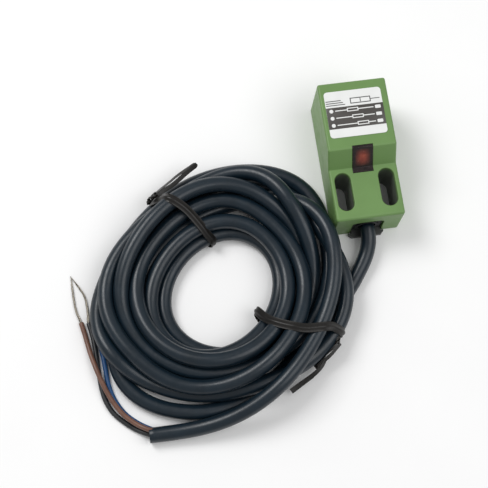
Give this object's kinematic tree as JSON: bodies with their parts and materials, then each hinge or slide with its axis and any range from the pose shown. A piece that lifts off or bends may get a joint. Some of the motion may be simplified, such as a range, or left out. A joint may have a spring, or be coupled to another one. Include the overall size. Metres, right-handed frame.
{
  "type": "inductive proximity sensor",
  "caption": "Rectangular inductive proximity sensor with a stepped housing, slotted deck, indicator lens, blank label and a tied coil of three-core cable.",
  "frame": {"origin": "centre of the housing's base face", "axes": "+Z up from the base, +Y out of the sensing face, -Y is the cable end, +X to the right seen from above with +Y up"},
  "size_m": [0.0878, 0.0849, 0.0181],
  "materials": {
    "housing_plastic": "satin",
    "dark_plastic": "matte",
    "grommet_rubber": "matte",
    "cable_jacket": "matte",
    "resin": "gloss",
    "lens": "gloss",
    "label_film": "satin",
    "ferrite": "matte",
    "bobbin_plastic": "matte",
    "enamelled_copper": "satin",
    "board_laminate": "satin",
    "chip_plastic": "matte",
    "capacitor_body": "satin",
    "led_body": "gloss",
    "solder": "gloss",
    "core_brown_pvc": "satin",
    "core_black_pvc": "satin",
    "core_blue_pvc": "satin",
    "tinned_copper": "satin",
    "tie_paper": "matte"
  },
  "bodies": {
    "root": {"base_cover": "dark_plastic", "cable_coil": "cable_jacket", "cable_feed": "cable_jacket", "cable_grommet": "grommet_rubber", "cable_stub": "cable_jacket", "cable_tail": "cable_jacket", "capacitor_supply": "capacitor_body", "capacitor_tuning": "capacitor_body", "circuit_board": "board_laminate", "coil_bobbin": "bobbin_plastic", "coil_lead_left": "enamelled_copper", "coil_lead_right": "enamelled_copper", "coil_winding": "enamelled_copper", "conductor_black": "tinned_copper", "conductor_brown": "tinned_copper", "core_black": "core_black_pvc", "core_blue": "core_blue_pvc", "core_brown": "core_brown_pvc", "ferrite_core": "ferrite", "housing": "housing_plastic", "inner_wire_black": "core_black_pvc", "inner_wire_blue": "core_blue_pvc", "inner_wire_brown": "core_brown_pvc", "led": "led_body", "led_lens": "lens", "name_label": "label_film", "oscillator_chip": "chip_plastic", "output_transistor": "chip_plastic", "potting_resin": "resin", "protection_diode": "chip_plastic", "resistor_bias": "chip_plastic", "resistor_gain": "chip_plastic", "resistor_led": "chip_plastic", "resistor_output": "chip_plastic", "solder_joint_black": "solder", "solder_joint_blue": "solder", "solder_joint_brown": "solder", "twist_tie_lower": "tie_paper", "twist_tie_upper": "tie_paper"}
  },
  "joints": []
}
